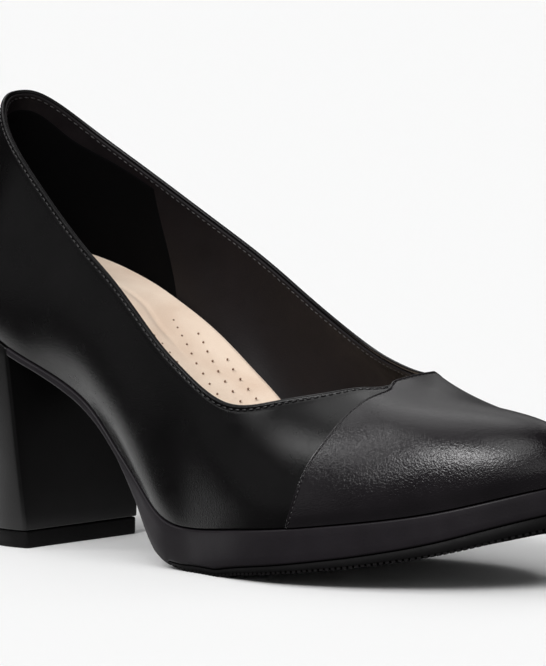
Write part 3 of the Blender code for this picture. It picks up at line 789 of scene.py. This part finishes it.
top[..., 2] -= 0.7 * MM * np.exp(-(from_wall / (0.7 * MM)) ** 2)
low = outer_wall[:, 0][:, None] + (inner_wall[:, 0] - outer_wall[:, 0])[:, None] * share[:, None]
points = np.concatenate([top.reshape(-1, 3), low.reshape(-1, 3)])
tan_suede = suede("tan_suede", (0.80, 0.61, 0.47), (0.98, 0.82, 0.67), 1.0, 0.25)
bed = piece("footbed", points, patch_faces(*top.shape[:2]), tan_suede, ["footbed"])


# The perforations of the footbed. Round holes 0.6 mm wide through the suede, drawn as dark
# discs on it that paint the shade in each hole, in rows 6 mm apart that bend towards the arch
# where they begin.

ROWS = (
    # length along the shoe and distance towards its inner side, in mm, of each row's points
    ((60.7, 14.0), (64.4, 12.1), (68.0, 10.5), (71.2, 9.3), (74.7, 7.9), (77.5, 6.9), (80.6, 6.5),
     (83.9, 6.0), (95.0, 6.0), (130.0, 6.0)),
    ((68.3, 17.1), (71.3, 16.0), (74.7, 14.4), (77.5, 13.5), (80.1, 12.7), (83.0, 12.2),
     (95.0, 12.0), (130.0, 12.0)),
    ((79.1, 18.8), (82.7, 17.9), (86.2, 17.8), (95.0, 18.0), (130.0, 18.0)),
    ((66.0, 0.5), (80.0, 0.0), (130.0, 0.0)),
    ((68.0, -6.0), (130.0, -6.0)),
    ((74.0, -12.0), (130.0, -12.0)),
    ((80.0, -18.0), (128.0, -18.0)),
)


def hole_tree():
    """Geometry nodes: a small dark disc at each step along a guide line, the painted shade of a
    hole.
    """
    sizes = (("Pitch", 0.004), ("Hole", 0.0006))
    tree, given, steps = guide_tree("perforations", sizes, "Holes")
    nodes, links = tree.nodes, tree.links
    half = nodes.new("ShaderNodeMath")
    half.operation = "MULTIPLY"
    half.inputs[1].default_value = 0.5
    links.new(given.outputs["Hole"], half.inputs[0])
    disc = nodes.new("GeometryNodeMeshCylinder")
    disc.inputs["Vertices"].default_value = 14
    disc.inputs["Depth"].default_value = 0.0004
    links.new(half.outputs[0], disc.inputs["Radius"])
    turn = nodes.new("FunctionNodeAlignRotationToVector")
    turn.axis = "Z"
    links.new(guide_vector(tree, "out"), turn.inputs["Vector"])
    set_out(tree, given, steps, disc.outputs["Mesh"], turn.outputs[0])
    return tree


HOLES = hole_tree()
# Dark brown discs: painted shade of the holes in the suede.
painted_hole_shade = suede("perforation_painted_shade", (0.16, 0.085, 0.05), (0.24, 0.14, 0.09), 0.2, 0.0)


def on_bed(x, y):
    """Points on the footbed."""
    i = np.array([np.argmin(np.abs(top[:, 45, 0] - value)) for value in x])
    z = np.array([np.interp(value, top[k, :, 1], top[k, :, 2]) for k, value in zip(i, y)])
    nearest = top[i, 45, 0]
    slope = np.gradient(top[:, 45, 2], top[:, 45, 0])[i]
    return np.stack([x, y, z + slope * (x - nearest)], -1)


for number, row in enumerate(ROWS, 1):
    row = np.array(row) * MM
    x = np.linspace(row[0, 0], row[-1, 0], 160)
    y = np.interp(x, row[:, 0], row[:, 1])
    line = on_bed(x, y)
    slope = np.gradient(line[:, 2], line[:, 0])
    out = np.stack([-slope, np.zeros(len(x)), np.ones(len(x))], -1)
    out /= np.linalg.norm(out, axis=1)[:, None]
    along_guide("perforation_row_%d" % number, HOLES, line - out * 0.15 * MM, {"out": out},
                {"Pitch": 4.2 * MM, "Hole": 0.62 * MM, "Finish": painted_hole_shade})


# The platform. A moulded sole covered in smooth black, 13 mm thick under the forefoot and
# 3 mm in the waist, where its edge shows as a narrow lip under the upper.

COVER_OUT = 0.5 * MM
SOLE = np.array((
    # length along the shoe, depth of the sole, thickness of the tread on its bottom
    (30.68, 2.793, 0.81), (42.48, 2.660, 0.81), (54.99, 3.059, 0.81), (66.08, 3.325, 0.81),
    (73.16, 2.926, 0.81), (78.59, 3.059, 0.81), (82.60, 4.655, 0.81), (85.90, 6.251, 0.81),
    (88.74, 7.714, 0.81), (91.57, 9.842, 0.81), (94.40, 11.571, 0.81), (97.47, 12.635, 0.81),
    (101.48, 12.901, 0.81), (107.38, 13.101, 1.50), (112.34, 13.433, 2.01), (118.00, 13.832, 2.01),
    (126.50, 14.258, 2.01), (132.16, 13.965, 2.16), (139.24, 13.766, 2.31), (160.48, 13.566, 2.61),
    (181.72, 13.500, 3.09), (198.24, 13.101, 3.45), (219.48, 12.968, 4.35),
    (236.00, 12.835, 4.59))) * MM
BREAST = 31.5 * MM
TREAD_START = 103.5 * MM


def sole_bottom(u):
    """Height of the sole's underside: level across under the ball of the foot, and elsewhere
    following each side of the feather line."""
    foot = section(u)[:, :3]
    x = foot[:, 0]
    level = soft(84.96 * MM, 106.2 * MM, x) - soft(127.44 * MM, 155.76 * MM, x)
    outer = np.interp(x, FEATHER[:TIP + 1, 0], FEATHER[:TIP + 1, 2])
    height = (1.0 - level) * foot[:, 2] + level * outer
    return np.maximum(height - np.interp(x, SOLE[:, 0], SOLE[:, 1]), 0.0)


def rim(u, out):
    """The feather line moved out level."""
    return section(u)[:, :3] + outward(u, 0) * out


def sole_loop(places, out, height):
    """The feather line moved out level and set at a height over the floor."""
    loop = rim(places, out)
    loop[:, 2] = height
    return loop


def closed_body(loops):
    """Faces of a body from loops of points, one over another, closed at top and bottom."""
    count = len(loops[0])
    faces = []
    for level in range(len(loops) - 1):
        low = level * count + np.arange(count)
        high = low + count
        faces.append(np.stack([low, np.roll(low, -1), np.roll(high, -1), high], -1))
    first = np.arange(count // 2 - 1)
    across = np.stack([first, first + 1, count - 2 - first, count - 1 - first], -1)
    faces.append(across[:, ::-1])
    faces.append(across + (len(loops) - 1) * count)
    return np.concatenate(faces)


def loop_places(start, step):
    """Places round the sole from the length start along the outer side, and back inside."""
    x = rung_lengths(step)
    x = np.concatenate([[start], x[x > start + 0.3 * MM]])
    outer, inner = sides(x)
    return np.concatenate([outer, inner[::-1]])


places = loop_places(BREAST + 0.3 * MM, 0.9 * MM)
x = section(places)[:, 0]
bottom = sole_bottom(places)
tread = np.interp(x, SOLE[:, 0], SOLE[:, 2])
bottom += soft(TREAD_START - 0.6 * MM, TREAD_START + 0.6 * MM, x) * (tread + 0.22 * MM)
head = rim(places, 0.0)[:, 2] - 0.28 * MM
loops = []
for out, lift in ((-2.0, 0.0), (-0.45, 0.0), (-0.12, 0.05), (0.18, 0.18), (0.4, 0.42), (0.5, 0.8)):
    loops.append(sole_loop(places, out * MM, bottom + lift * MM))
for share in (0.25, 0.5, 0.75):
    side_height = bottom + 0.8 * MM + (head - 0.65 * MM - bottom - 0.8 * MM) * share
    loops.append(sole_loop(places, COVER_OUT, side_height))
for out, drop in ((0.5, 0.65), (0.44, 0.36), (0.28, 0.14), (0.02, 0.02), (-0.4, 0.0), (-2.0, 0.0)):
    loops.append(sole_loop(places, out * MM, head - drop * MM))
sole_black = grained("black_platform_cover", (0.0125, 0.0106, 0.0127), (0.0172, 0.0146, 0.0176),
                     (0.38, 0.48), 0.0007, 0.16, mirror=0.22)
piece("platform", np.concatenate(loops), closed_body(loops), sole_black,
      ["platform"])


# The outsole. Black rubber glued under the forefoot. Small teeth run round its lower edge
# and fine bars, 0.4 mm high, cross its underside.

places = loop_places(TREAD_START + 0.3 * MM, 0.9 * MM)
x = section(places)[:, 0]
bottom = sole_bottom(places)
tread = np.interp(x, SOLE[:, 0], SOLE[:, 2])
loops = []
for out, lift in ((-5.0, 0.45), (-3.3, 0.45), (-3.0, 0.7), (-0.6, 0.7), (-0.3, 0.8), (-0.15, 1.0)):
    loops.append(sole_loop(places, out * MM, bottom + np.minimum(lift * MM, 0.6 * tread)))
for out, drop in ((-0.05, 0.2), (-0.2, 0.04), (-0.6, 0.0), (-3.0, 0.0)):
    loops.append(sole_loop(places, out * MM, bottom + tread - drop * MM))
tread_rubber = grained("black_tread_rubber", (0.0040, 0.0037, 0.0040), (0.0070, 0.0065, 0.0069),
                       (0.52, 0.68), 0.0009, 0.25, mirror=0.15)
piece("outsole", np.concatenate(loops), closed_body(loops), tread_rubber,
      ["outsole"])


def block_tree():
    """Geometry nodes: blocks along a guide line, each stretched to the line's own reach there."""
    sizes = (("Pitch", 0.002), ("Width", 0.0012), ("Height", 0.0008))
    tree, given, steps = guide_tree("tread_blocks", sizes, "Blocks")
    nodes, links = tree.nodes, tree.links
    block = nodes.new("GeometryNodeMeshCube")
    block.inputs["Size"].default_value = (1.0, 1.0, 1.0)
    reach = guide_vector(tree, "reach")
    along = nodes.new("GeometryNodeInputTangent")
    turn = nodes.new("FunctionNodeAxesToRotation")
    turn.primary_axis = "Y"
    turn.secondary_axis = "X"
    links.new(reach, turn.inputs["Primary Axis"])
    links.new(along.outputs["Tangent"], turn.inputs["Secondary Axis"])
    full = nodes.new("ShaderNodeVectorMath")
    full.operation = "LENGTH"
    links.new(reach, full.inputs[0])
    size = nodes.new("ShaderNodeCombineXYZ")
    links.new(given.outputs["Width"], size.inputs["X"])
    links.new(full.outputs["Value"], size.inputs["Y"])
    links.new(given.outputs["Height"], size.inputs["Z"])
    set_out(tree, given, steps, block.outputs["Mesh"], turn.outputs[0], size.outputs["Vector"])
    return tree


BLOCKS = block_tree()
places = np.linspace(places[0], places[-1], 700)
points = sole_loop(places, -1.75 * MM, sole_bottom(places) + 0.5 * MM)
along_guide("outsole_teeth", BLOCKS, points, {"reach": outward(places, 0) * 2.9 * MM},
            {"Pitch": 2.0 * MM, "Width": 1.25 * MM, "Height": 0.9 * MM, "Finish": tread_rubber})
x = np.linspace(107.0, 226.0, 240) * MM
outer_side, inner_side = sides(x)
outer_end = sole_loop(outer_side, -4.2 * MM, sole_bottom(outer_side))
inner_end = sole_loop(inner_side, -4.2 * MM, sole_bottom(inner_side))
middle = (outer_end + inner_end) / 2.0
middle[:, 2] += 0.35 * MM
along_guide("outsole_bars", BLOCKS, middle, {"reach": inner_end - outer_end},
            {"Pitch": 3.2 * MM, "Width": 1.6 * MM, "Height": 0.6 * MM, "Finish": tread_rubber})


# The heel. A block 76 mm high at its back and 62 mm at its front face, covered in smooth
# black leather, slightly hollow at the back and narrower at the floor. Its two front edges
# are rounded.

def heel_top(step, radius):
    """The heel's outline under the upper, with its front corners rounded."""
    x = rung_lengths(step)
    x = x[x < BREAST - radius - 0.2 * MM]
    turn = np.linspace(0.0, np.pi / 2.0, 8)
    corner_x = BREAST - radius + radius * np.sin(turn)
    inset = radius * (1.0 - np.cos(turn))
    outer, inner = sides(np.concatenate([x, corner_x]))
    first, second = rim(outer, COVER_OUT), rim(inner, COVER_OUT)
    first[len(x):, 1] += inset
    second[len(x):, 1] -= inset
    share = np.linspace(0.0, 1.0, 17)[1:-1]
    face = first[-1] + (second[-1] - first[-1]) * share[:, None]
    face[:, 2] = first[-1, 2] + (second[-1, 2] - first[-1, 2]) * soft(0.08, 0.92, share)
    half = len(face) // 2
    outline = np.concatenate([first, face[:half + 1], face[half:], second[::-1]])
    outline[:, 2] -= 0.28 * MM
    return outline


outline = heel_top(0.9 * MM, 1.1 * MM)
heel_share = (outline[:, 0] - FEATHER[0, 0]) / (BREAST - FEATHER[0, 0])


def heel_level(height, inset=0.0):
    """The heel's outline at a height over the floor, drawn in by inset."""
    floor = outline.copy()
    floor[:, 0] += 2.2 * MM * heel_share
    floor[:, 1] *= 1.0 - 0.185 * heel_share
    floor[:, 2] = 0.0
    up = height / outline[:, 2]
    level = floor + (outline - floor) * up[:, None]
    level[:, 0] += 1.2 * MM * np.sin(np.pi * up) * (1.0 - heel_share)
    middle = level.mean(axis=0)
    plan = level[:, :2] - middle[:2]
    level[:, :2] = middle[:2] + plan * (1.0 - inset / np.abs(plan).max(axis=0))
    return level


foot_height = 5.5 * MM
loops = []
for inset, lift in ((3.0, 0.0), (0.5, 0.0), (0.2, 0.06), (0.05, 0.2), (0.0, 0.45)):
    loops.append(heel_level(np.full(len(outline), foot_height + lift * MM), inset * MM))
for share in np.linspace(0.08, 0.94, 14):
    loops.append(heel_level(foot_height + (outline[:, 2] - foot_height) * share))
for inset, drop in ((0.0, 0.7), (0.08, 0.36), (0.24, 0.12), (0.5, 0.0), (3.0, 0.0)):
    loops.append(heel_level(outline[:, 2] - drop * MM, inset * MM))
heel_black = grained("black_heel_cover", (0.0020, 0.0019, 0.0020), (0.0036, 0.0033, 0.0035),
                     (0.28, 0.38), 0.0006, 0.16, mirror=0.22, patch=0.03)
piece("heel", np.concatenate(loops), closed_body(loops), heel_black, ["heel"])


# The top lift. A 5 mm plate of hard black rubber nailed under the heel, a hair smaller
# than the heel all round.

loops = []
for inset, height in ((4.0, 0.0), (0.75, 0.0), (0.45, 0.08), (0.3, 0.3), (0.25, 0.7), (0.25, 2.6),
                      (0.25, 4.7), (0.32, 5.0), (0.6, 5.2), (4.0, 5.2)):
    loops.append(heel_level(np.full(len(outline), height * MM), inset * MM))
lift_rubber = grained("black_lift_rubber", (0.0020, 0.0019, 0.0020), (0.0038, 0.0037, 0.0038),
                      (0.45, 0.6), 0.0008, 0.2, mirror=0.06)
piece("top_lift", np.concatenate(loops), closed_body(loops), lift_rubber,
      ["top_lift"])


# The studio. Pale paper on the floor under soft lights that stand far off, the strongest over
# the shoe's outer side. The camera sees the paper bright all over. The leather mirrors it
# bright only beside the heel and under the waist, as the real one did: there the paper's
# colour, for all rays but the camera's, holds a painted pool of light, and elsewhere it is
# painted dark. The lens is long.

floor_mesh = bpy.data.meshes.new("floor")
floor_mesh.from_pydata([(-9, -9, 0), (9, -9, 0), (9, 9, 0), (-9, 9, 0)], [], [(0, 1, 2, 3)])
floor = bpy.data.objects.new("floor", floor_mesh)
bpy.context.collection.objects.link(floor)
paper = bpy.data.materials.new("floor_paper")
paper.use_nodes = True
nodes, links = paper.node_tree.nodes, paper.node_tree.links
nodes.remove(nodes["Principled BSDF"])
place = nodes.new("ShaderNodeTexCoord")
far = nodes.new("ShaderNodeVectorMath")
far.operation = "DISTANCE"
far.inputs[1].default_value = (-0.15, -0.05, 0.0)
links.new(place.outputs["Object"], far.inputs[0])
# A painted pool of light for all rays but the camera's: bright within 11 cm of the heel's outer
# side, gone at 19 cm, and only behind a line that runs slantwise under the waist. Beyond it
# the paper is painted dark.
round_heel = nodes.new("ShaderNodeMapRange")
round_heel.interpolation_type = "SMOOTHSTEP"
round_heel.inputs["From Min"].default_value = 0.11
round_heel.inputs["From Max"].default_value = 0.19
round_heel.inputs["To Min"].default_value = 1.25
round_heel.inputs["To Max"].default_value = 0.0
links.new(far.outputs["Value"], round_heel.inputs["Value"])
beyond = nodes.new("ShaderNodeVectorMath")
beyond.operation = "DOT_PRODUCT"
beyond.inputs[1].default_value = (-0.447, 0.894, 0.0)
links.new(place.outputs["Object"], beyond.inputs[0])
under_waist = nodes.new("ShaderNodeMapRange")
under_waist.interpolation_type = "SMOOTHSTEP"
under_waist.inputs["From Min"].default_value = -0.030
under_waist.inputs["From Max"].default_value = -0.0215
links.new(beyond.outputs["Value"], under_waist.inputs["Value"])
painted_light_tone = nodes.new("ShaderNodeMath")
painted_light_tone.operation = "MULTIPLY_ADD"
painted_light_tone.inputs[2].default_value = 0.075
links.new(round_heel.outputs["Result"], painted_light_tone.inputs[0])
links.new(under_waist.outputs["Result"], painted_light_tone.inputs[1])
mirrored = nodes.new("ShaderNodeBsdfDiffuse")
links.new(painted_light_tone.outputs[0], mirrored.inputs["Color"])
bright = nodes.new("ShaderNodeBsdfDiffuse")
bright.inputs["Color"].default_value = (0.882, 0.882, 0.882, 1.0)
seen = nodes.new("ShaderNodeLightPath")
either = nodes.new("ShaderNodeMixShader")
links.new(seen.outputs["Is Camera Ray"], either.inputs["Fac"])
links.new(mirrored.outputs[0], either.inputs[1])
links.new(bright.outputs[0], either.inputs[2])
links.new(either.outputs[0], nodes["Material Output"].inputs["Surface"])
floor_mesh.materials.append(paper)

world = bpy.data.worlds.new("studio")
bpy.context.scene.world = world
world.use_nodes = True
nodes, links = world.node_tree.nodes, world.node_tree.links
backdrop = nodes["Background"]
seen = nodes.new("ShaderNodeLightPath")
strength = nodes.new("ShaderNodeMapRange")
strength.inputs["To Min"].default_value = 0.012
strength.inputs["To Max"].default_value = 0.94
links.new(seen.outputs["Is Camera Ray"], strength.inputs["Value"])
links.new(strength.outputs["Result"], backdrop.inputs["Strength"])
backdrop.inputs["Color"].default_value = (1.0, 1.0, 1.0, 1.0)

for azimuth, elevation, width, glow in (
        # where each light stands in degrees, how wide it looks from the shoe, its brightness
        (-18, 43, 16, 2.0), (0, 39, 16, 12.0), (20, 37, 16, 17.0), (38, 34, 16, 7.0),
        (36, 30, 44, 0.6), (60, 55, 44, 2.0), (-56, 44, 18, 3.9), (-60, 55, 44, 0.35),
        (-120, 55, 44, 1.0), (0, 86, 50, 0.4), (-144, 30, 44, 0.36), (-40, 6, 44, 0.26),
        (80, 6, 44, 0.8), (120, 6, 44, 0.5)):
    light = bpy.data.lights.new("light_%d_%d" % (azimuth, elevation), "SUN")
    light.angle = np.radians(width)
    light.energy = glow * np.pi * np.sin(np.radians(width / 2.0)) ** 2
    lamp = bpy.data.objects.new(light.name, light)
    lamp.rotation_euler = (np.radians(90.0 - elevation), 0.0, np.radians(azimuth))
    bpy.context.collection.objects.link(lamp)

bpy.context.scene.view_settings.view_transform = "Standard"

# The camera's place was solved from the photograph. Its width and the focal length are in
# pixels, and DISTANCE is in metres.
PHOTO_WIDTH = 546.0
FOCAL_LENGTH = 8629.66
DISTANCE = 2.6
azimuth, elevation, turn = np.radians(45.0), np.radians(5.8365), np.radians(-0.9313)
away = np.array((np.sin(azimuth) * np.cos(elevation), -np.cos(azimuth) * np.cos(elevation),
                 np.sin(elevation)))
right = np.array((np.cos(azimuth), np.sin(azimuth), 0.0))
above = np.cross(away, right)
camera_right = np.cos(turn) * right + np.sin(turn) * above
camera_up = np.cos(turn) * above - np.sin(turn) * right
target = np.array((117.7065, 0.0, 69.7082)) * MM + CENTRE
optics = bpy.data.cameras.new("camera")
optics.sensor_fit = "HORIZONTAL"
optics.sensor_width = 36.0
optics.lens = FOCAL_LENGTH / PHOTO_WIDTH * optics.sensor_width
optics.clip_end = 50.0
camera = bpy.data.objects.new("camera", optics)
matrix = np.eye(4)
matrix[:3, 0], matrix[:3, 1], matrix[:3, 2] = camera_right, camera_up, away
matrix[:3, 3] = target + DISTANCE * away
camera.matrix_world = matrix.T.tolist()
bpy.context.collection.objects.link(camera)
bpy.context.scene.camera = camera
